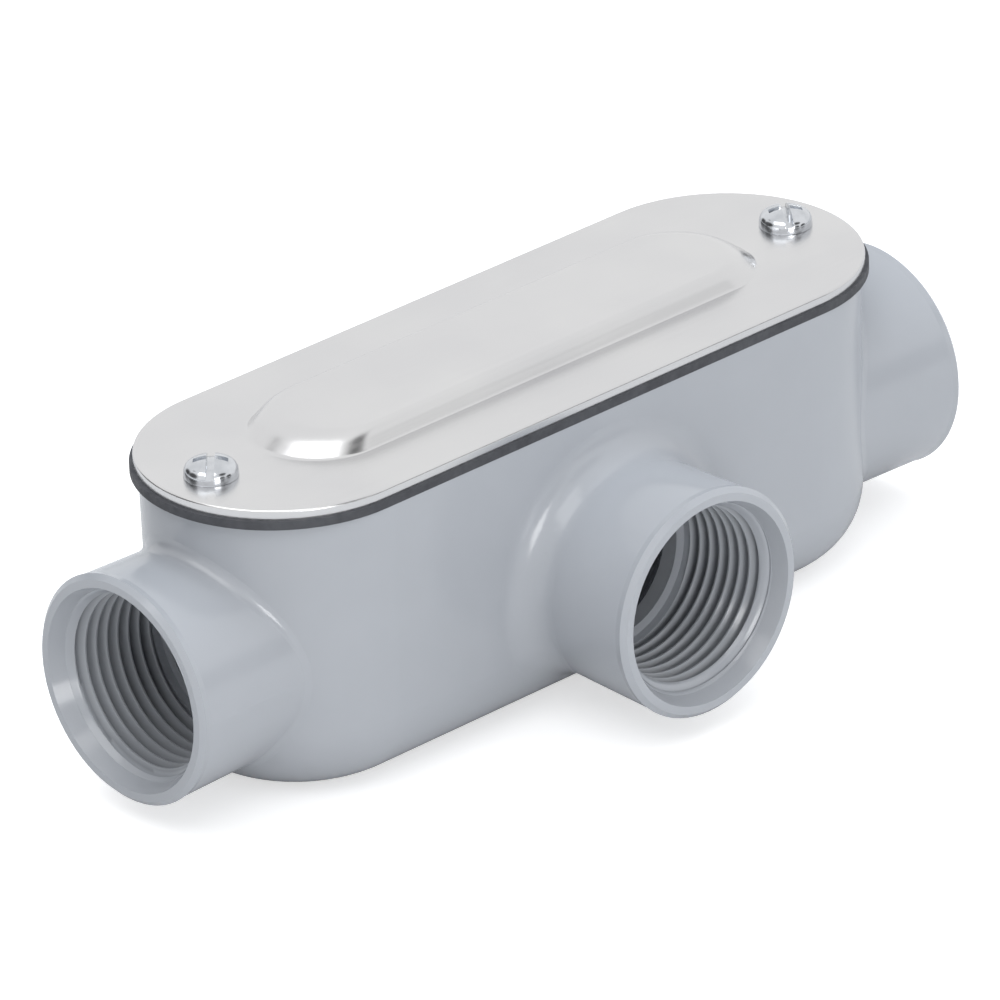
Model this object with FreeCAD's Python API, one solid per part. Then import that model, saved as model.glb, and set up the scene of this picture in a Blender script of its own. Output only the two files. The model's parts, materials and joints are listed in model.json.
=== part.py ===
"""Type T conduit body, 3/4 in. trade size: a cast housing with two end hubs and one side hub, each
threaded inside for rigid conduit, closed by a gasket and a stamped cover held by two screws.

Frame: millimetres, +Z up, X along the housing, side hub towards -Y.
Origin: centre of the flat base face.
"""
import FreeCAD, Part
import math
import os

# ---- Housing tub
HOUSING_LENGTH = 117.0        # at the rim, without the hubs
HOUSING_WIDTH = 39.8          # at the rim
HOUSING_HEIGHT = 41.5         # base face to rim
WALL = 2.6
FLOOR = 2.8
DRAFT_DEG = 0.6               # the walls close in towards the base so that the casting leaves its mould
BASE_ROUND = 10.7             # outside radius between wall and base

# ---- Hubs
HUB_AXIS_HEIGHT = 19.15       # all three axes lie at this height
HUB_RADIUS = 16.0             # at the face
HUB_COLLAR_WIDTH = 1.6        # the face ends in a slight collar
HUB_COLLAR_RISE = 0.15
HUB_DRAFT_DEG = 1.4           # behind it the barrel narrows towards the housing
END_HUB_STANDOUT = 11.15      # face of an end hub beyond the housing's end
SIDE_HUB_STANDOUT = 18.3      # face of the side hub beyond the housing's side
HUB_RIM_BREAK = 0.7           # outer edge of a hub's face
END_HUB_BLEND = 1.8           # cast fillets where the hubs run into the walls
SIDE_HUB_BLEND = 4.5

# ---- Conduit socket inside each hub, measured from the hub's face inwards
MOUTH_RADIUS = 14.2
MOUTH_DEPTH = 2.2             # countersink that leads into the thread
THREAD_ROOT_RADIUS = 13.3
THREAD_LENGTH = 13.9
RELIEF_RADIUS = 11.9          # unthreaded bore behind the thread
RELIEF_LENGTH = 1.2
BUSHING_RADIUS = 10.5         # integral bushing that stops the conduit and guards the conductors
BUSHING_FLARE = 1.2           # the bushing widens towards the wireway so that nothing is cut on its edge

# ---- Cover screws and what they pass through
SCREW_INSET = 6.2             # screw axis in from the housing's end
SCREW_RADIUS = 2.08
SCREW_LENGTH = 9.5            # under the head
SCREW_POINT = 0.6             # chamfer at the tip
SCREW_HEAD_RADIUS = 3.65
SCREW_HEAD_HEIGHT = 2.7
SCREW_HEAD_SIDE = 1.2         # straight side of the head, below its dome
RECESS_WIDTH = 1.1            # slot and cross recess
RECESS_DEPTH = 1.5
CROSS_LENGTH = 4.4
SLOT_TURN_DEG = {"cover_screw_left": 46.0, "cover_screw_right": 55.0}
BOSS_RADIUS = 4.6
BOSS_LEDGE = 0.2              # the end hub's sleeve reaches in this far past the boss that stands on it
TAP_CLEARANCE = 0.05          # screw to tapped hole
TAP_RUNOUT = 0.8              # hole left below the screw's tip
COVER_HOLE_CLEARANCE = 0.35
GASKET_HOLE_CLEARANCE = 0.2

# ---- Gasket
GASKET_THICKNESS = 1.2
GASKET_LEDGE = 0.35           # stands out past the cover's edge along the sides
GASKET_END_LEDGE = 0.55       # and at the ends
GASKET_END_OVERHANG = 1.45    # stands out past the housing's ends; along the sides it is flush
GASKET_LAP = 0.8              # reaches in past the housing's wall and bosses

# ---- Cover
COVER_THICKNESS = 1.4
COVER_EDGE_ROUND = 0.5        # the stamping rolls its upper edge
PANEL_SCREW_GAP = 9.4         # screw axis to the foot of the raised panel's end
PANEL_WIDTH = 19.4
PANEL_HEIGHT = 2.6
PANEL_SIDE_SLOPE = 1.4        # run of the panel's flank along its sides
PANEL_END_SLOPE = 3.4         # and at its round ends
PANEL_SHOULDER = 1.7          # rounding where the flank meets the panel's top

# ---- What follows from these
END_HUB_REACH = HOUSING_LENGTH / 2 + END_HUB_STANDOUT
SIDE_HUB_REACH = HOUSING_WIDTH / 2 + SIDE_HUB_STANDOUT
SCREW_X = HOUSING_LENGTH / 2 - SCREW_INSET
SLEEVE_START = SCREW_X - BOSS_RADIUS - BOSS_LEDGE
GASKET_LENGTH = HOUSING_LENGTH + 2 * GASKET_END_OVERHANG
GASKET_WIDTH = HOUSING_WIDTH
COVER_LENGTH = GASKET_LENGTH - 2 * GASKET_END_LEDGE
COVER_WIDTH = GASKET_WIDTH - 2 * GASKET_LEDGE
PANEL_LENGTH = 2 * (SCREW_X - PANEL_SCREW_GAP)
RIM_Z = HOUSING_HEIGHT
COVER_Z = RIM_Z + GASKET_THICKNESS
COVER_TOP_Z = COVER_Z + COVER_THICKNESS
TAP_DEPTH = SCREW_LENGTH - COVER_THICKNESS - GASKET_THICKNESS + TAP_RUNOUT
PAST = 1.0                    # how far a cutting tool runs past the face it opens

UP = FreeCAD.Vector(0, 0, 1)


def at(x, y, z):
    return FreeCAD.Vector(x, y, z)


def oblong_wire(length, width, z):
    """Closed outline with straight sides along X and half-round ends."""
    radius = width / 2
    straight = length / 2 - radius
    right = Part.Arc(at(straight, -radius, z), at(straight + radius, 0, z), at(straight, radius, z))
    left = Part.Arc(at(-straight, radius, z), at(-straight - radius, 0, z), at(-straight, -radius, z))
    back = Part.LineSegment(at(straight, radius, z), at(-straight, radius, z))
    front = Part.LineSegment(at(-straight, -radius, z), at(straight, -radius, z))
    return Part.Wire([edge.toShape() for edge in (right, back, left, front)])


def oblong_plate(length, width, z, thickness):
    return Part.Face(oblong_wire(length, width, z)).extrude(UP * thickness)


def edges_at(shape, z):
    """Edges that lie wholly at one height."""
    return [edge for edge in shape.Edges
            if abs(edge.BoundBox.ZMin - z) < 1e-4 and abs(edge.BoundBox.ZMax - z) < 1e-4]


def tub(inset, base_z):
    """Drafted oblong block from base_z to the rim, rounded at its base, inset from the outside."""
    length = HOUSING_LENGTH - 2 * inset
    width = HOUSING_WIDTH - 2 * inset
    draw = 2 * (RIM_Z - base_z) * math.tan(math.radians(DRAFT_DEG))
    base = oblong_wire(length - draw, width - draw, base_z)
    rim = oblong_wire(length, width, RIM_Z)
    block = Part.makeLoft([base, rim], True, True)
    return block.makeFillet(BASE_ROUND - inset, edges_at(block, base_z))


def hub_placement(name):
    """Frame of one hub: its X axis runs out of the mouth, its origin is on the housing's centre."""
    turn = {"left": 180.0, "right": 0.0, "side": -90.0}[name]
    return FreeCAD.Placement(at(0, 0, HUB_AXIS_HEIGHT), FreeCAD.Rotation(UP, turn))


def placed(shape, placement):
    copy = shape.copy()
    copy.Placement = placement
    return copy


def outline_edges(points):
    return [Part.LineSegment(at(x0, y0, 0), at(x1, y1, 0)).toShape()
            for (x0, y0), (x1, y1) in zip(points, points[1:])]


def revolve_about_x(edges):
    """Solid of revolution about the X axis of a closed outline in the XY plane."""
    return Part.Face(Part.Wire(edges)).revolve(at(0, 0, 0), at(1, 0, 0), 360)


def hub_blank(reach):
    """Outside of a hub: a drafted bar from the housing's centre to its face and the collar there."""
    collar_start = reach - HUB_COLLAR_WIDTH
    barrel_radius = HUB_RADIUS - HUB_COLLAR_RISE
    root_radius = barrel_radius - collar_start * math.tan(math.radians(HUB_DRAFT_DEG))
    points = [(0, 0), (reach, 0), (reach, HUB_RADIUS - HUB_RIM_BREAK), (reach - HUB_RIM_BREAK, HUB_RADIUS),
              (collar_start, barrel_radius), (0, root_radius), (0, 0)]
    return revolve_about_x(outline_edges(points))


def hub_socket(reach, bushing_end):
    """Everything cut out of a hub: countersink, thread bore, relief, and the flared bushing."""
    thread_start = reach - MOUTH_DEPTH
    thread_end = thread_start - THREAD_LENGTH
    shoulder = thread_end - RELIEF_LENGTH
    flare = BUSHING_RADIUS + BUSHING_FLARE
    points = [(bushing_end - PAST, 0), (reach + PAST, 0), (reach + PAST, MOUTH_RADIUS),
              (reach, MOUTH_RADIUS), (thread_start, THREAD_ROOT_RADIUS),
              (thread_end, THREAD_ROOT_RADIUS), (thread_end, RELIEF_RADIUS),
              (shoulder, RELIEF_RADIUS), (shoulder, BUSHING_RADIUS),
              (bushing_end + BUSHING_FLARE, BUSHING_RADIUS), (bushing_end, flare),
              (bushing_end - PAST, flare), (bushing_end - PAST, 0)]
    return revolve_about_x(outline_edges(points))


def screw_positions():
    return {"cover_screw_left": -SCREW_X, "cover_screw_right": SCREW_X}


def boss(x):
    """Column under the rim that takes a cover screw; it stands on the end hub's sleeve."""
    return Part.makeCylinder(BOSS_RADIUS, RIM_Z - HUB_AXIS_HEIGHT, at(x, 0, HUB_AXIS_HEIGHT))


def blend_edges(shape, along, reach):
    """Edges where the hub barrels along one axis, "X" or "Y", meet the tub."""
    lowest, highest = ("XMin", "XMax") if along == "X" else ("YMin", "YMax")
    found = []
    for face in shape.Faces:
        surface = face.Surface
        is_barrel = isinstance(surface, Part.Cone) and abs(surface.Axis.z) < 0.5
        runs_along_x = is_barrel and abs(surface.Axis.x) > 0.5
        if not is_barrel or runs_along_x != (along == "X"):
            continue
        for edge in face.Edges:
            ends = (abs(getattr(edge.BoundBox, lowest)), abs(getattr(edge.BoundBox, highest)))
            is_collar = min(ends) > reach - HUB_COLLAR_WIDTH - 1e-4
            if not is_collar and not edge.isSeam(face):
                found.append(edge)
    return found


def make_housing():
    reaches = {"left": END_HUB_REACH, "right": END_HUB_REACH, "side": SIDE_HUB_REACH}
    outside = tub(0, 0)
    for name, reach in reaches.items():
        outside = outside.fuse(placed(hub_blank(reach), hub_placement(name)))
    outside = outside.removeSplitter()
    outside = outside.makeFillet(SIDE_HUB_BLEND, blend_edges(outside, "Y", SIDE_HUB_REACH))
    outside = outside.makeFillet(END_HUB_BLEND, blend_edges(outside, "X", END_HUB_REACH))

    cavity = tub(WALL, FLOOR)
    sleeve = Part.makeCylinder(HUB_RADIUS, HOUSING_LENGTH, at(SLEEVE_START, 0, 0), at(1, 0, 0))
    for name in ("left", "right"):
        cavity = cavity.cut(placed(sleeve, hub_placement(name)))
    for x in screw_positions().values():
        cavity = cavity.cut(boss(x))

    housing = outside.cut(cavity)
    bushing_ends = {"left": SLEEVE_START, "right": SLEEVE_START, "side": HOUSING_WIDTH / 2 - WALL}
    for name, reach in reaches.items():
        socket = hub_socket(reach, bushing_ends[name])
        housing = housing.cut(placed(socket, hub_placement(name)))
    for x in screw_positions().values():
        hole = Part.makeCylinder(SCREW_RADIUS + TAP_CLEARANCE, TAP_DEPTH + PAST, at(x, 0, RIM_Z - TAP_DEPTH))
        housing = housing.cut(hole)
    return housing


def make_gasket():
    gasket = oblong_plate(GASKET_LENGTH, GASKET_WIDTH, RIM_Z, GASKET_THICKNESS)
    lap = 2 * (WALL + GASKET_LAP)
    window = oblong_plate(HOUSING_LENGTH - lap, HOUSING_WIDTH - lap, RIM_Z - PAST,
                          GASKET_THICKNESS + 2 * PAST)
    for x in screw_positions().values():
        pad = Part.makeCylinder(BOSS_RADIUS + GASKET_LAP, GASKET_THICKNESS + 2 * PAST, at(x, 0, RIM_Z - PAST))
        window = window.cut(pad)
    gasket = gasket.cut(window)
    for x in screw_positions().values():
        gasket = gasket.cut(Part.makeCylinder(SCREW_RADIUS + GASKET_HOLE_CLEARANCE,
                                              GASKET_THICKNESS + 2 * PAST, at(x, 0, RIM_Z - PAST)))
    return gasket


def panel_block(inset, foot_z):
    """Raised panel as a solid: oblong foot, steep sides and longer ramps at the ends."""
    foot = oblong_wire(PANEL_LENGTH - 2 * inset, PANEL_WIDTH - 2 * inset, foot_z)
    top = oblong_wire(PANEL_LENGTH - 2 * PANEL_END_SLOPE - 2 * inset,
                      PANEL_WIDTH - 2 * PANEL_SIDE_SLOPE - 2 * inset, foot_z + PANEL_HEIGHT)
    return Part.makeLoft([foot, top], True, True)


def make_cover():
    plate = oblong_plate(COVER_LENGTH, COVER_WIDTH, COVER_Z, COVER_THICKNESS)
    plate = plate.makeFillet(COVER_EDGE_ROUND, edges_at(plate, COVER_TOP_Z))
    panel = panel_block(0, COVER_TOP_Z)
    panel = panel.makeFillet(PANEL_SHOULDER, edges_at(panel, COVER_TOP_Z + PANEL_HEIGHT))
    cover = plate.fuse(panel).cut(panel_block(COVER_THICKNESS, COVER_Z))
    for x in screw_positions().values():
        cover = cover.cut(Part.makeCylinder(SCREW_RADIUS + COVER_HOLE_CLEARANCE,
                                            COVER_THICKNESS + 2 * PAST, at(x, 0, COVER_Z - PAST)))
    return cover.removeSplitter()


def make_screw(x, slot_turn):
    """Pan head machine screw standing on the cover, with a combination slot and cross recess."""
    dome_rise = SCREW_HEAD_HEIGHT - SCREW_HEAD_SIDE
    dome_radius = (SCREW_HEAD_RADIUS ** 2 + dome_rise ** 2) / (2 * dome_rise)
    half_angle = math.asin(SCREW_HEAD_RADIUS / dome_radius) / 2
    mid_height = SCREW_HEAD_HEIGHT - dome_radius * (1 - math.cos(half_angle))
    dome = Part.Arc(at(SCREW_HEAD_HEIGHT, 0, 0), at(mid_height, dome_radius * math.sin(half_angle), 0),
                    at(SCREW_HEAD_SIDE, SCREW_HEAD_RADIUS, 0)).toShape()
    points = [(SCREW_HEAD_SIDE, SCREW_HEAD_RADIUS), (0, SCREW_HEAD_RADIUS), (0, SCREW_RADIUS),
              (SCREW_POINT - SCREW_LENGTH, SCREW_RADIUS),
              (-SCREW_LENGTH, SCREW_RADIUS - SCREW_POINT), (-SCREW_LENGTH, 0),
              (SCREW_HEAD_HEIGHT, 0)]
    screw = revolve_about_x([dome] + outline_edges(points))
    screw.rotate(at(0, 0, 0), at(0, 1, 0), -90)

    slot_length = 2 * SCREW_HEAD_RADIUS + 2 * PAST
    for length, turn in ((slot_length, 0), (CROSS_LENGTH, 90)):
        cut = Part.makeBox(length, RECESS_WIDTH, RECESS_DEPTH + PAST,
                           at(-length / 2, -RECESS_WIDTH / 2, SCREW_HEAD_HEIGHT - RECESS_DEPTH))
        cut.rotate(at(0, 0, 0), UP, turn)
        screw = screw.cut(cut)
    screw.rotate(at(0, 0, 0), UP, slot_turn)
    screw.translate(at(x, 0, COVER_TOP_Z))
    return screw


def main():
    parts = {"housing": make_housing(), "gasket": make_gasket(), "cover": make_cover()}
    for name, x in screw_positions().items():
        parts[name] = make_screw(x, SLOT_TURN_DEG[name])
    os.makedirs("parts", exist_ok=True)
    for name, shape in parts.items():
        box = shape.optimalBoundingBox(False, False)
        print(f"{name}: valid {shape.isValid()}, solids {len(shape.Solids)}, {shape.Volume:.0f} mm3, "
              f"x {box.XMin:.2f}..{box.XMax:.2f}, y {box.YMin:.2f}..{box.YMax:.2f}, "
              f"z {box.ZMin:.2f}..{box.ZMax:.2f}")
        shape.exportStep(f"parts/{name}.step")


main()
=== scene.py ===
"""Looks of a type T conduit body: painted casting, rubber gasket, bright cover and zinc screws."""
import json
import math

import bmesh
import bpy
import numpy as np
from mathutils import Matrix, Vector
from mathutils.geometry import tessellate_polygon

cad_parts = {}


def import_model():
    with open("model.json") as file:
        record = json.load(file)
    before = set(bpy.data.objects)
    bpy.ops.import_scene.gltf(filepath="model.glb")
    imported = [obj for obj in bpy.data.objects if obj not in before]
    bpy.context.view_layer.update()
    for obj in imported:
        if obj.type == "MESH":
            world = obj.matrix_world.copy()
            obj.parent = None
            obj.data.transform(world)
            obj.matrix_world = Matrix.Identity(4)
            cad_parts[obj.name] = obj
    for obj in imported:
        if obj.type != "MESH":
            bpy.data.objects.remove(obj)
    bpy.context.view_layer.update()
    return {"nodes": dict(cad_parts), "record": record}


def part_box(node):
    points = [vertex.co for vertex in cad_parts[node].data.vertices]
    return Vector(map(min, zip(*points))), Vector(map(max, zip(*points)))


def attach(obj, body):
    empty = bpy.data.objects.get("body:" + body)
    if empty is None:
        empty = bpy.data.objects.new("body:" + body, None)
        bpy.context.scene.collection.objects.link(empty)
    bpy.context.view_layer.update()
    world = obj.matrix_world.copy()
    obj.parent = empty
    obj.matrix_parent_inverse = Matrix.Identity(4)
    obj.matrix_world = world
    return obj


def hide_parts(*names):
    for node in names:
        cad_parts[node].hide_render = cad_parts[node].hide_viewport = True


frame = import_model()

MM = 0.001

# ---- Places taken from the frame
MOUNTS = {mount["name"]: mount for mount in frame["record"]["mounts"]}
AXIS_Z = MOUNTS["hub_side"]["pos_m"][2]  # height of the three hub axes


# ======== Node helpers. A tree is the node tree of a material or of the world.

def node(tree, kind, inputs=(), **settings):
    """One shader node with its settings and input values; an input given as a socket is linked."""
    made = tree.nodes.new(kind)
    for key, value in settings.items():
        setattr(made, key, value)
    for key, value in dict(inputs).items():
        if isinstance(value, bpy.types.NodeSocket):
            tree.links.new(value, made.inputs[key])
        else:
            made.inputs[key].default_value = value
    return made


def maths(tree, operation, *values):
    """Result of a Math node on sockets or numbers."""
    return node(tree, "ShaderNodeMath", enumerate(values), operation=operation).outputs[0]


def noise(tree, scale, detail=2.0, roughness=0.5, stretch=(1, 1, 1)):
    """Noise over the object's own coordinates, scale in features per metre."""
    place = node(tree, "ShaderNodeTexCoord").outputs["Object"]
    if stretch != (1, 1, 1):
        place = node(tree, "ShaderNodeMapping", {"Vector": place, "Scale": stretch}).outputs["Vector"]
    return node(tree, "ShaderNodeTexNoise", {"Vector": place, "Scale": scale, "Detail": detail,
                                             "Roughness": roughness}).outputs["Fac"]


def spread(tree, value, low, high, source=(0.35, 0.65)):
    """Maps a value from its source range to low and high, and no further."""
    return node(tree, "ShaderNodeMapRange",
                {"Value": value, "From Min": source[0], "From Max": source[1],
                 "To Min": low, "To Max": high}).outputs["Result"]


def blend_colours(tree, share, first, second):
    return node(tree, "ShaderNodeMix", {"Factor": share, "A": (*first, 1), "B": (*second, 1)},
                data_type="RGBA").outputs["Result"]


def shade(tree, colour, level):
    """The colour times one level between 0 and 1."""
    grey = node(tree, "ShaderNodeCombineColor", dict.fromkeys(("Red", "Green", "Blue"), level))
    return node(tree, "ShaderNodeMix", {"Factor": 1.0, "A": colour, "B": grey.outputs["Color"]},
                data_type="RGBA", blend_type="MULTIPLY").outputs["Result"]


def bumps(tree, height, strength, distance):
    """Normals bent by a height."""
    return node(tree, "ShaderNodeBump",
                {"Height": height, "Strength": strength, "Distance": distance}).outputs["Normal"]


def new_tree(owner):
    """Empty node tree of a new material or world."""
    owner.use_nodes = True
    owner.node_tree.nodes.clear()
    return owner.node_tree


def new_material(name, surface):
    """Material whose Principled inputs are what surface(tree) returns, by the names on the shader."""
    material = bpy.data.materials.new(name)
    tree = new_tree(material)
    shader = node(tree, "ShaderNodeBsdfPrincipled", surface(tree))
    node(tree, "ShaderNodeOutputMaterial", {"Surface": shader.outputs["BSDF"]})
    return material


# ======== Materials
ROOT_SHADE = 0.60                       # share of the paint's colour left in a thread's roots, as painted shade


def paint(tree):
    """Satin grey paint over a die casting: even, with a faint orange peel."""
    tone = spread(tree, noise(tree, 90.0, 3.0), 0.0, 1.0, (0.2, 0.8))
    return {"Base Color": blend_colours(tree, tone, (0.410, 0.430, 0.463), (0.430, 0.450, 0.483)),
            "Roughness": spread(tree, noise(tree, 260.0), 0.15, 0.19, (0.2, 0.8)),
            "Specular IOR Level": 0.5,
            "Normal": bumps(tree, noise(tree, 500.0, 1.0), 0.10, 0.03 * MM)}


def paint_with_painted_root_shade(tree):
    """The same paint with painted shade: darker in a thread's roots, by the height that the mesh carries."""
    inputs = paint(tree)
    height = node(tree, "ShaderNodeAttribute", attribute_name="thread_height").outputs["Fac"]
    # painted shade: the colour darkens from the crests down into the roots
    level = spread(tree, height, ROOT_SHADE, 1.0, (0.0, 1.0))
    return inputs | {"Base Color": shade(tree, inputs["Base Color"], level)}


def cover_metal(tree):
    """Satin sheet metal with faint rolling lines along its length."""
    tone = spread(tree, noise(tree, 60.0), 0.0, 1.0)
    lines = noise(tree, 1.0, 3.0, 0.6, stretch=(30, 1500, 1500))
    return {"Metallic": 1.0,
            "Base Color": blend_colours(tree, tone, (0.665, 0.665, 0.675), (0.695, 0.695, 0.70)),
            "Roughness": spread(tree, lines, 0.22, 0.27),
            "Normal": bumps(tree, lines, 0.02, 0.01 * MM)}


def gasket_rubber(tree):
    """Dark grey moulded rubber, matt, with a fine grain."""
    tone = spread(tree, noise(tree, 300.0, 3.0), 0.0, 1.0)
    return {"Base Color": blend_colours(tree, tone, (0.050, 0.052, 0.060), (0.066, 0.069, 0.078)),
            "Roughness": spread(tree, noise(tree, 900.0), 0.55, 0.75),
            "Normal": bumps(tree, noise(tree, 2500.0, 3.0), 0.3, 0.04 * MM)}


def screw_zinc(tree):
    """Bright zinc plating with slight clouding."""
    tone = spread(tree, noise(tree, 500.0), 0.0, 1.0)
    return {"Metallic": 1.0,
            "Base Color": blend_colours(tree, tone, (0.56, 0.58, 0.61), (0.66, 0.68, 0.71)),
            "Roughness": spread(tree, noise(tree, 1200.0), 0.10, 0.18),
            "Normal": bumps(tree, noise(tree, 1800.0), 0.15, 0.03 * MM)}


MATERIALS = {"grey_paint": new_material("grey_paint", paint),
             "cover_metal": new_material("cover_metal", cover_metal),
             "gasket_rubber": new_material("gasket_rubber", gasket_rubber),
             "screw_zinc": new_material("screw_zinc", screw_zinc)}
THREAD_PAINT_WITH_PAINTED_SHADE = new_material("thread_paint_painted_shade", paint_with_painted_root_shade)


def dress(piece, slot):
    piece.data.materials.clear()
    piece.data.materials.append(MATERIALS[slot])


# ======== Carried-over solids
for name, slot in {"housing": "grey_paint", "gasket": "gasket_rubber"}.items():
    dress(frame["nodes"][name], slot)


# ======== Mesh helpers
MERGE = 1e-7                            # vertices closer than this become one


def into_scene(name, data):
    made = bpy.data.objects.new(name, data)
    bpy.context.scene.collection.objects.link(made)
    return made


def plain_mesh(name, vertices, faces):
    mesh = bpy.data.meshes.new(name)
    mesh.from_pydata([tuple(v) for v in vertices], [], [tuple(f) for f in faces])
    return mesh


def closed_mesh(name, vertices, faces, sharp_deg):
    """Merged and turned outwards, with smooth faces and sharp edges past an angle."""
    mesh = plain_mesh(name, vertices, faces)
    edit = bmesh.new()
    edit.from_mesh(mesh)
    bmesh.ops.remove_doubles(edit, verts=edit.verts, dist=MERGE)
    bmesh.ops.dissolve_degenerate(edit, edges=edit.edges, dist=MERGE)
    bmesh.ops.recalc_face_normals(edit, faces=edit.faces)
    edit.to_mesh(mesh)
    edit.free()
    mesh.shade_smooth()
    mesh.set_sharp_from_angle(angle=math.radians(sharp_deg))
    return mesh


def new_piece(name, mesh, slot):
    """Object that rides on the part."""
    piece = into_scene(name, mesh)
    dress(piece, slot)
    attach(piece, "root")
    return piece


def band(low_row, high_row):
    """Faces between two closed rows of vertex numbers."""
    for k in range(len(low_row)):
        n = (k + 1) % len(low_row)
        yield low_row[k], low_row[n], high_row[n], high_row[k]


def lathe(profile, centre, sectors):
    """Vertices and faces of a solid turned about a vertical axis at centre. The profile is a row of
    (radius, z) from the axis at the top to the axis at the bottom."""
    angles = [2 * math.pi * k / sectors for k in range(sectors)]
    vertices = [(centre.x + r * math.cos(a), centre.y + r * math.sin(a), z)
                for r, z in profile[1:-1] for a in angles]
    top, bottom, last = len(vertices), len(vertices) + 1, len(vertices) - sectors
    faces = []
    for row in range(0, last, sectors):
        for k in range(sectors):
            here, there = row + k, row + (k + 1) % sectors
            faces.append((here, here + sectors, there + sectors, there))
    vertices += [(centre.x, centre.y, profile[0][1]), (centre.x, centre.y, profile[-1][1])]
    for k in range(sectors):
        n = (k + 1) % sectors
        faces += [(top, k, n), (bottom, last + n, last + k)]
    return vertices, faces


# ======== Cover
COVER_LOW, COVER_HIGH = (Vector(corner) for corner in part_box("cover"))
SCREW_BOXES = {side: [Vector(corner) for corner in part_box("cover_screw_" + side)]
               for side in ("left", "right")}
SCREW_X = (SCREW_BOXES["right"][0].x + SCREW_BOXES["right"][1].x) / 2
SHEET = 1.4 * MM                        # thickness of the cover's sheet
RIM_ROUND = 0.35 * MM
HOLE_RADIUS = 2.43 * MM                 # clears the screw's shank
PANEL_FOOT_X = SCREW_X - 9.4 * MM       # raised panel: half length at its foot
PANEL_FOOT_Y = 9.7 * MM                 # and half width
PANEL_END_RUN = 3.4 * MM                # run of the ramp at the ends
PANEL_SIDE_RUN = 1.4 * MM               # and along the sides
FOOT_ROUND = 0.10                       # both as a share of the ramp
SHOULDER_ROUND = 0.5
ARC_STEPS = 40                          # mesh steps round half an oblong
ROUND_STEPS = 8                         # and across a rounding
HOLE_STEPS = 32


def end_arcs():
    """Side of each half-round end of an oblong, and the angles round it, as (side, cosine, sine)."""
    for side in (1, -1):
        for k in range(ARC_STEPS + 1):
            a = math.pi * (k / ARC_STEPS - 0.5)
            yield side, math.cos(a), math.sin(a)


def oblong(half_length, half_width, z):
    """Outline with straight sides and half-round ends, as a closed row of points."""
    straight = half_length - half_width
    return [(side * (straight + half_width * cos), side * half_width * sin, z)
            for side, cos, sin in end_arcs()]


def oblong_normals(before, after):
    """Unit normals of the band that runs between two oblongs given as (half length, half width, z)."""
    length_step, width_step, rise = (b - a for a, b in zip(before, after))
    normals = []
    for side, cos, sin in end_arcs():
        along = Vector((side * (length_step - width_step + width_step * cos), side * width_step * sin, rise))
        round_step = Vector((-side * sin, side * cos, 0))
        normals.append(round_step.cross(along).normalized())
    return normals


def ramp_profile():
    """The panel's ramp from its foot to its top, as (share of the run, share of the rise)."""
    def corner(start, middle, end):
        for k in range(ROUND_STEPS + 1):
            t = k / ROUND_STEPS
            yield tuple((1 - t) ** 2 * p + 2 * t * (1 - t) * q + t ** 2 * r
                        for p, q, r in zip(start, middle, end))
    foot = corner((-FOOT_ROUND, 0), (0, 0), (FOOT_ROUND, FOOT_ROUND))
    low = 1 - SHOULDER_ROUND
    shoulder = corner((low, low), (1, 1), (1 + SHOULDER_ROUND, 1))
    return list(foot) + list(shoulder)


def panel_rings(inset, foot_z, rise):
    return [(PANEL_FOOT_X - inset - PANEL_END_RUN * run, PANEL_FOOT_Y - inset - PANEL_SIDE_RUN * run,
             foot_z + rise * up) for run, up in ramp_profile()]


def rim_rings():
    """The plate's edge from its lower corner up and over the rolled upper edge."""
    length, width = COVER_HIGH.x, COVER_HIGH.y
    base, top = COVER_LOW.z, COVER_LOW.z + SHEET
    rings = [(length, width, base)]
    for k in range(ROUND_STEPS + 1):
        a = math.pi / 2 * k / ROUND_STEPS
        back = RIM_ROUND * (1 - math.cos(a))
        rings.append((length - back, width - back, top - RIM_ROUND * (1 - math.sin(a))))
    return rings


def hole_ring(x, z):
    angles = [2 * math.pi * k / HOLE_STEPS for k in range(HOLE_STEPS)]
    return [(x + HOLE_RADIUS * math.cos(a), HOLE_RADIUS * math.sin(a), z) for a in angles]


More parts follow.
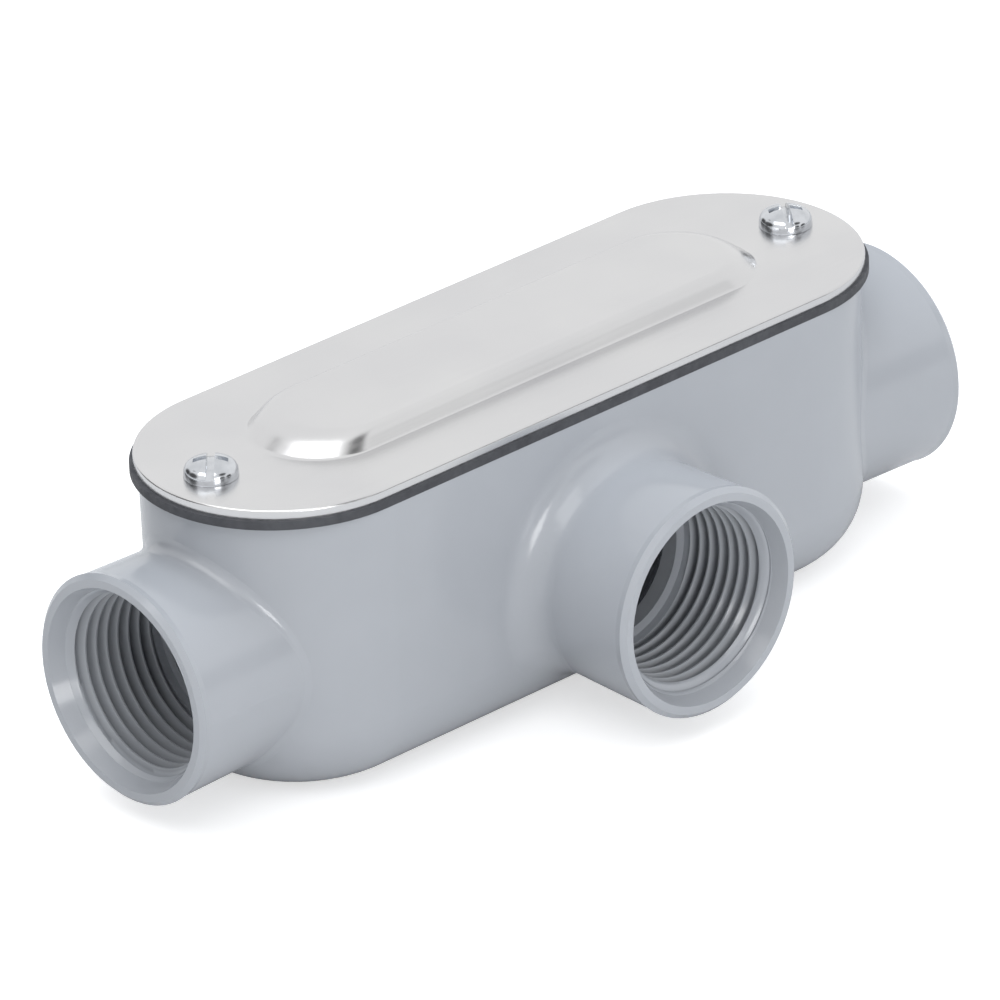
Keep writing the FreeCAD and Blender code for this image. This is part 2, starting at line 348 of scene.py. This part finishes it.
class Sheet:
    """Mesh under construction, with a normal for each corner of each face."""
    UP = Vector((0, 0, 1))

    def __init__(self):
        self.vertices, self.faces, self.normals = [], [], []

    def add_ring(self, points):
        self.vertices.extend(points)
        return list(range(len(self.vertices) - len(points), len(self.vertices)))

    def add_face(self, corners, corner_normals, flip=False):
        step = -1 if flip else 1
        self.faces.append(list(corners)[::step])
        self.normals.extend([step * n for n in corner_normals][::step])

    def add_bands(self, rings, flip):
        """Smooth surface through a row of oblongs; returns its first and last rows of vertices."""
        rows = [self.add_ring(oblong(*ring)) for ring in rings]
        steps = [oblong_normals(a, b) for a, b in zip(rings, rings[1:])]
        joined = [steps[0]]
        joined += [[(p + q).normalized() for p, q in zip(a, b)] for a, b in zip(steps, steps[1:])]
        joined.append(steps[-1])
        places = range(len(rows[0]))
        for r in range(len(rows) - 1):
            for corners, (a, b, c, d) in zip(band(rows[r], rows[r + 1]), band(places, places)):
                self.add_face(corners, (joined[r][a], joined[r][b], joined[r + 1][c], joined[r + 1][d]), flip)
        return rows[0], rows[-1]

    def add_flat(self, outline, openings, flip):
        """Level face with openings."""
        loops = [outline] + openings
        flat = [index for loop in loops for index in loop]
        for triangle in tessellate_polygon([[Vector(self.vertices[i]) for i in loop] for loop in loops]):
            a, b, c = (Vector(self.vertices[flat[i]]) for i in triangle)
            clockwise = (b - a).cross(c - a).z < 0
            corners = [flat[i] for i in (reversed(triangle) if clockwise else triangle)]
            self.add_face(corners, [self.UP] * 3, flip)

    def add_hole(self, upper, lower, x):
        """Wall of a round hole between its upper and lower rings."""
        for k, corners in enumerate(band(upper, lower)):
            inward = [Vector((x - self.vertices[i][0], -self.vertices[i][1], 0)).normalized()
                      for i in (upper[k], upper[(k + 1) % HOLE_STEPS])]
            self.add_face(corners, inward + inward[::-1])

    def mesh(self, name):
        mesh = plain_mesh(name, self.vertices, self.faces)
        mesh.shade_smooth()
        mesh.normals_split_custom_set([tuple(n) for n in self.normals])
        return mesh


def cover_plate():
    """Stamped cover: rolled rim, raised panel hollow from below, and the two screw holes."""
    sheet = Sheet()
    top_z = COVER_LOW.z + SHEET
    rise = COVER_HIGH.z - top_z
    rim_low, rim_top = sheet.add_bands(rim_rings(), False)
    foot_top, shoulder_top = sheet.add_bands(panel_rings(0, top_z, rise), False)
    sheet.add_face(shoulder_top, [sheet.UP] * len(shoulder_top))
    foot_under, shoulder_under = sheet.add_bands(panel_rings(SHEET, COVER_LOW.z, rise), True)
    sheet.add_face(shoulder_under, [sheet.UP] * len(shoulder_under), True)
    holes = [(x, sheet.add_ring(hole_ring(x, top_z)), sheet.add_ring(hole_ring(x, COVER_LOW.z)))
             for x in (-SCREW_X, SCREW_X)]
    sheet.add_flat(rim_top, [foot_top] + [upper for _, upper, _ in holes], False)
    sheet.add_flat(rim_low, [foot_under] + [lower for _, _, lower in holes], True)
    for x, upper, lower in holes:
        sheet.add_hole(upper, lower, x)
    piece = new_piece("cover_plate", sheet.mesh("cover_plate"), "cover_metal")
    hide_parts("cover")


cover_plate()


# ======== Cover screws
HEAD_RADIUS = 3.65 * MM
HEAD_HEIGHT = 2.62 * MM
HEAD_SIDE = 0.7 * MM                    # height of the pan head's side
HEAD_LEAN = math.radians(3)             # the side leans in by this much
HEAD_EDGE_ROUND = 1.4 * MM              # between side and dome
HEAD_FOOT_ROUND = 0.1 * MM
SHANK_RADIUS = 2.08 * MM
SHANK_POINT = 0.6 * MM
RECESS_WIDTH = 1.1 * MM
RECESS_DEPTH = 1.6 * MM
CROSS_LENGTH = 4.6 * MM
RECESS_BEVEL = 0.08 * MM
SLOT_TURN = {"left": math.radians(46), "right": math.radians(55)}
SCREW_SECTORS = 96
DOME_STEPS = 12
EDGE_STEPS = 8
FOOT_STEPS = 4
SCREW_SHARP_DEG = 35                    # edges past this angle stay sharp, and the recess's are bevelled


def head_profile(seat_z):
    """Dome, rounded edge, side and foot of a pan head, from its top on the axis to its seat."""
    # the edge's round touches the leaning side
    steepest = math.pi / 2 - HEAD_LEAN
    round_x = HEAD_RADIUS - HEAD_SIDE * math.tan(HEAD_LEAN) - HEAD_EDGE_ROUND * math.sin(steepest)
    round_z = seat_z + HEAD_SIDE - HEAD_EDGE_ROUND * math.cos(steepest)
    # the dome runs through the top point and touches the round
    rise = seat_z + HEAD_HEIGHT - round_z
    dome_radius = (round_x ** 2 + rise ** 2 - HEAD_EDGE_ROUND ** 2) / (2 * (rise - HEAD_EDGE_ROUND))
    dome_z = seat_z + HEAD_HEIGHT - dome_radius
    lean = math.asin(round_x / (dome_radius - HEAD_EDGE_ROUND))

    def arc(centre_x, centre_z, radius, start, end, steps):
        """Points of an arc by the angle from the vertical, without its first."""
        angles = [start + (end - start) * k / steps for k in range(1, steps + 1)]
        return [(centre_x + radius * math.sin(a), centre_z + radius * math.cos(a)) for a in angles]

    foot_angles = [math.pi / 2 * k / FOOT_STEPS for k in range(FOOT_STEPS + 1)]
    return ([(0, seat_z + HEAD_HEIGHT)]
            + arc(0, dome_z, dome_radius, 0, lean, DOME_STEPS)
            + arc(round_x, round_z, HEAD_EDGE_ROUND, lean, steepest, EDGE_STEPS)
            + [(HEAD_RADIUS - HEAD_FOOT_ROUND * (1 - math.cos(a)),
                seat_z + HEAD_FOOT_ROUND * (1 - math.sin(a))) for a in foot_angles])


def recess_cutter(length, turn, centre, floor_z):
    """Upright box that cuts one arm of the recess."""
    cutter = bmesh.new()
    bmesh.ops.create_cube(cutter, size=1)
    size = Matrix.Diagonal((length, RECESS_WIDTH, 2 * HEAD_HEIGHT, 1))
    place = Matrix.Translation((centre.x, centre.y, floor_z + HEAD_HEIGHT)) @ Matrix.Rotation(turn, 4, "Z")
    cutter.transform(place @ size)
    mesh = bpy.data.meshes.new("recess")
    cutter.to_mesh(mesh)
    cutter.free()
    return into_scene("recess", mesh)


def cut_and_bevel(piece, cutters):
    """Cuts the recess, softens its edges and bakes both into the mesh."""
    for cutter in cutters:
        cut = piece.modifiers.new("recess", "BOOLEAN")
        cut.operation, cut.object, cut.solver = "DIFFERENCE", cutter, "EXACT"
    bevel = piece.modifiers.new("edges", "BEVEL")
    bevel.width, bevel.segments = RECESS_BEVEL, 2
    bevel.limit_method, bevel.angle_limit = "ANGLE", math.radians(SCREW_SHARP_DEG)
    depsgraph = bpy.context.evaluated_depsgraph_get()
    baked = bpy.data.meshes.new_from_object(piece.evaluated_get(depsgraph))
    piece.modifiers.clear()
    piece.data = baked
    baked.set_sharp_from_angle(angle=math.radians(SCREW_SHARP_DEG))
    for cutter in cutters:
        bpy.data.objects.remove(cutter)


def cover_screw(side):
    """Pan head screw with a slot and cross recess."""
    low, high = SCREW_BOXES[side]
    centre = (low + high) / 2
    seat = COVER_LOW.z + SHEET
    profile = head_profile(seat) + [(SHANK_RADIUS, seat), (SHANK_RADIUS, low.z + SHANK_POINT),
                                    (SHANK_RADIUS - SHANK_POINT, low.z), (0, low.z)]
    name = "screw_" + side
    mesh = closed_mesh(name, *lathe(profile, centre, SCREW_SECTORS), sharp_deg=25)
    piece = new_piece(name, mesh, "screw_zinc")
    # the slot runs out through the head's sides, the cross stays inside
    floor_z = seat + HEAD_HEIGHT - RECESS_DEPTH
    cut_and_bevel(piece, [recess_cutter(length, SLOT_TURN[side] + turn, centre, floor_z)
                          for length, turn in ((3 * HEAD_RADIUS, 0), (CROSS_LENGTH, math.pi / 2))])
    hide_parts("cover_screw_" + side)


for screw_side in SCREW_BOXES:
    cover_screw(screw_side)


# ======== Conduit threads
THREAD_PITCH = 25.4 / 14 * MM
THREAD_TAPER = 1 / 32                   # the radius closes by this much per length, as conduit thread does
CREST_RADIUS = 11.75 * MM               # at the inner end
THREAD_DEPTH = 1.35 * MM
CREST_FLAT = 0.12                       # of the pitch
ROOT_FLAT = 0.06
LEAD_IN_SLOPE = 0.6                     # chamfer that cuts the first crests
LEAD_IN_LENGTH = 1.6 * MM               # the painted root shade is left out over the first turn
SLEEVE_BURIED = 0.05 * MM               # the sleeve's back lies this far inside the housing's metal
FLANK_STEPS = 4                         # mesh rows on each flank
THREAD_SECTORS = 144


def thread_height(turn):
    """1 on a crest and 0 in a root, for a position along the axis in turns."""
    off_crest = abs(turn - np.round(turn))
    rise = 0.5 - (ROOT_FLAT + CREST_FLAT) / 2
    return np.clip((0.5 - ROOT_FLAT / 2 - off_crest) / rise, 0, 1)


def thread_surface(bore, length):
    """Grid of points on the thread, by sector and row, and the number of rows in one turn.

    Rows follow the helix and lie on the corners of the profile and between them (crest, flank, root,
    flank), so crests and roots run along mesh edges. They are cut off at the bore's two ends.
    """
    down = np.linspace(CREST_FLAT / 2, 0.5 - ROOT_FLAT / 2, FLANK_STEPS + 1)
    turn_rows = np.concatenate([down, 1 - down[::-1]])
    turns = math.ceil(length / THREAD_PITCH) + 2
    row_turn = np.concatenate([turn_rows + t for t in range(turns)])
    turn, sector = np.meshgrid(row_turn, np.arange(THREAD_SECTORS) / THREAD_SECTORS)
    along = np.clip(THREAD_PITCH * (turn - 1 + sector), 0, length)
    crest = CREST_RADIUS + THREAD_TAPER * along
    root = np.minimum(crest + THREAD_DEPTH, bore - SLEEVE_BURIED)
    radius = root - thread_height(along / THREAD_PITCH - sector) * (root - crest)
    radius = np.maximum(radius, bore - SLEEVE_BURIED - (length - along) * LEAD_IN_SLOPE)
    angle = 2 * np.pi * sector
    return np.stack([along, radius * np.cos(angle), radius * np.sin(angle)], axis=-1), len(turn_rows)


def thread_faces(rows, per_turn):
    """Faces of the thread's grid. The last sector meets the first one turn on."""
    for s in range(THREAD_SECTORS):
        wraps = s == THREAD_SECTORS - 1
        next_start = per_turn if wraps else (s + 1) * rows
        for r in range(rows - 1 - (per_turn if wraps else 0)):
            here, there = s * rows + r, next_start + r
            yield here, here + 1, there + 1, there


def thread_sleeve(name, mount):
    """Right-handed internal thread as a thin sleeve that lines a socket's bore. It is made along X, out of
    the mouth from the thread's inner end, and then turned to the hub."""
    bore = mount["dims"]["r_mm"] * MM
    length = mount["dims"]["length_mm"] * MM
    grid, per_turn = thread_surface(bore, length)
    rows = grid.shape[1]
    faces = list(thread_faces(rows, per_turn))
    # back of the sleeve, and the two ends that join it to the thread
    angle = 2 * np.pi * np.arange(THREAD_SECTORS) / THREAD_SECTORS
    back = bore + SLEEVE_BURIED
    rings = [np.stack([np.full(THREAD_SECTORS, x), back * np.cos(angle), back * np.sin(angle)], axis=-1)
             for x in (0, length)]
    vertices = np.concatenate([grid.reshape(-1, 3)] + rings)
    first = THREAD_SECTORS * rows
    low, high = range(first, first + THREAD_SECTORS), range(first + THREAD_SECTORS, len(vertices))
    faces += band(low, high)
    faces += band(range(0, first, rows), low)
    faces += band(range(rows - 1, first, rows), high)

    outward = Vector(mount["axis"])
    inner_end = Vector(mount["pos_m"]) - outward * (length / 2)
    turned = Vector((1, 0, 0)).rotation_difference(outward).to_matrix()
    mesh = closed_mesh(name, vertices @ np.array(turned).T + np.array(inner_end), faces, sharp_deg=35)
    new_piece(name, mesh, "grey_paint")
    # the threads get the paint with painted shade in their roots
    mesh.materials[0] = THREAD_PAINT_WITH_PAINTED_SHADE
    # height above the root at each vertex, for the painted shade in the roots
    off_axis = np.array([(vertex.co - inner_end).cross(outward).length for vertex in mesh.vertices])
    along = np.array([(vertex.co - inner_end).dot(outward) for vertex in mesh.vertices])
    height = np.clip((CREST_RADIUS + THREAD_DEPTH - off_axis) / THREAD_DEPTH, 0, 1)
    height[along > length - LEAD_IN_LENGTH] = 1
    mesh.attributes.new("thread_height", "FLOAT", "POINT").data.foreach_set("value", height)


for hub in ("hub_left", "hub_right", "hub_side"):
    thread_sleeve(hub.replace("hub", "thread"), MOUNTS[hub])


# ======== Studio
FLOOR_HALF = 6.0
FLOOR_COLOUR = (0.80, 0.80, 0.80, 1)
FLOOR_GLOW = 0.55                       # lifts the lit floor to white, for the camera alone
ROOM_LEVEL = 0.62                       # the room's own light on matt surfaces
ROOM_TILT = 0.36                        # it is this much stronger at the right and weaker at the left
ROOM_TINT = (0.97, 0.98, 1.0, 1)
# dark gaps between the lamps: azimuth from +X towards +Y, elevation and half angle, in degrees
DARK_GAPS = ((-74, 40, 13), (117, 46, 4), (-56, 4, 12), (-86, 8, 12), (146, 14, 22), (112, 10, 16))
GAP_LEVEL = 0.10
GAP_EDGE = 0.3                          # share of its radius over which a gap fades on either side


def toward(azimuth, elevation):
    """Direction from two angles in degrees, azimuth from +X towards +Y."""
    a, e = math.radians(azimuth), math.radians(elevation)
    return Vector((math.cos(a) * math.cos(e), math.sin(a) * math.cos(e), math.sin(e)))


def studio_floor():
    """Pale floor: white to the camera where nothing shades it, and it keeps the shadow."""
    corners = [(x * FLOOR_HALF, y * FLOOR_HALF, 0) for x, y in ((-1, -1), (1, -1), (1, 1), (-1, 1))]
    floor = into_scene("floor", plain_mesh("floor", corners, [(0, 1, 2, 3)]))
    material = bpy.data.materials.new("floor_white")
    tree = new_tree(material)
    matt = node(tree, "ShaderNodeBsdfPrincipled",
                {"Base Color": FLOOR_COLOUR, "Roughness": 0.9, "Specular IOR Level": 0.0})
    seen = node(tree, "ShaderNodeLightPath").outputs["Is Camera Ray"]
    glow = node(tree, "ShaderNodeEmission",
                {"Color": (1, 1, 1, 1), "Strength": maths(tree, "MULTIPLY", seen, FLOOR_GLOW)})
    both = node(tree, "ShaderNodeAddShader", {0: matt.outputs["BSDF"], 1: glow.outputs["Emission"]})
    node(tree, "ShaderNodeOutputMaterial", {"Surface": both.outputs["Shader"]})
    floor.data.materials.append(material)


def gaps_between_lamps(tree, direction):
    """White, but for soft dark gaps."""
    darkest = 1.0
    for azimuth, elevation, half_angle in DARK_GAPS:
        away = node(tree, "ShaderNodeVectorMath", {0: direction, 1: toward(azimuth, elevation)},
                    operation="DISTANCE").outputs["Value"]
        radius = 2 * math.sin(math.radians(half_angle) / 2)
        level = node(tree, "ShaderNodeMapRange",
                     {"Value": away, "From Min": (1 - GAP_EDGE) * radius, "From Max": (1 + GAP_EDGE) * radius,
                      "To Min": GAP_LEVEL}, interpolation_type="SMOOTHSTEP").outputs["Result"]
        darkest = maths(tree, "MINIMUM", darkest, level)
    return darkest


def world():
    """Plain white to the camera, white with dark gaps in reflections, and on matt surfaces the room's own
    soft light, which falls off towards the left."""
    made = bpy.data.worlds.new("studio")
    tree = new_tree(made)
    direction = node(tree, "ShaderNodeTexCoord").outputs["Generated"]
    path = node(tree, "ShaderNodeLightPath")
    camera_ray = path.outputs["Is Camera Ray"]
    mirrored = maths(tree, "MAXIMUM", gaps_between_lamps(tree, direction), camera_ray)
    white = node(tree, "ShaderNodeBackground", {"Color": mirrored, "Strength": 1.0})
    right = node(tree, "ShaderNodeSeparateXYZ", {0: direction}).outputs["X"]
    level = maths(tree, "MULTIPLY_ADD", right, ROOM_TILT, ROOM_LEVEL)
    room = node(tree, "ShaderNodeBackground", {"Color": ROOM_TINT, "Strength": level})
    sees_white = maths(tree, "MAXIMUM", maths(tree, "MAXIMUM", camera_ray, path.outputs["Is Glossy Ray"]),
                       path.outputs["Is Transmission Ray"])
    mix = node(tree, "ShaderNodeMixShader", {0: sees_white, 1: room.outputs[0], 2: white.outputs[0]})
    node(tree, "ShaderNodeOutputWorld", {"Surface": mix.outputs[0]})
    bpy.context.scene.world = made


def soft_light(name, azimuth, elevation, distance, width, height, level, tint=(1, 1, 1)):
    """Softbox aimed at the object. Level 1 alone lights a facing surface so that its colour renders as
    written."""
    data = bpy.data.lights.new(name, "AREA")
    data.shape = "RECTANGLE"
    data.size, data.size_y = width, height
    data.energy = level * (math.pi * distance) ** 2
    data.color = tint
    lamp = into_scene(name, data)
    direction = toward(azimuth, elevation)
    lamp.location = direction * distance
    lamp.rotation_euler = direction.to_track_quat("Z", "Y").to_euler()
    return lamp


studio_floor()
world()
soft_light("key", azimuth=-161, elevation=60, distance=1.2, width=1.15, height=0.66, level=0.33)
top = soft_light("top", azimuth=60, elevation=75, distance=1.2, width=0.8, height=0.8, level=0.35,
                 tint=(0.88, 0.94, 1.0))
top.visible_glossy = False              # the cover would mirror it as a bright patch
soft_light("front", azimuth=-109, elevation=12, distance=1.3, width=0.45, height=0.45, level=0.25)


# ======== Camera: long lens, from the left front and above
VIEW_AZIMUTH = math.radians(-42.487)
VIEW_ELEVATION = math.radians(26.299)
VIEW_ROLL = math.radians(-2.055)
VIEW_DISTANCE = 1.435                   # from the crossing of the hub axes
VIEW_SIDE = -0.00143                    # shift of the camera along its own right and up
VIEW_RISE = 0.00209
SENSOR = 36.0
LENS = 387.55


def camera():
    az, el, roll = VIEW_AZIMUTH, VIEW_ELEVATION, VIEW_ROLL
    back = Vector((math.sin(az) * math.cos(el), -math.cos(az) * math.cos(el), math.sin(el)))
    level_right = Vector((math.cos(az), math.sin(az), 0))
    level_up = back.cross(level_right)
    right = math.cos(roll) * level_right + math.sin(roll) * level_up
    up = -math.sin(roll) * level_right + math.cos(roll) * level_up
    place = Vector((0, 0, AXIS_Z)) + VIEW_DISTANCE * back + VIEW_SIDE * right + VIEW_RISE * up
    data = bpy.data.cameras.new("camera")
    data.sensor_width = SENSOR
    data.lens = LENS
    data.clip_start, data.clip_end = 0.05, 20
    made = into_scene("camera", data)
    made.matrix_world = Matrix.Translation(place) @ Matrix((right, up, back)).transposed().to_4x4()
    bpy.context.scene.camera = made


camera()
bpy.context.scene.view_settings.view_transform = "Standard"
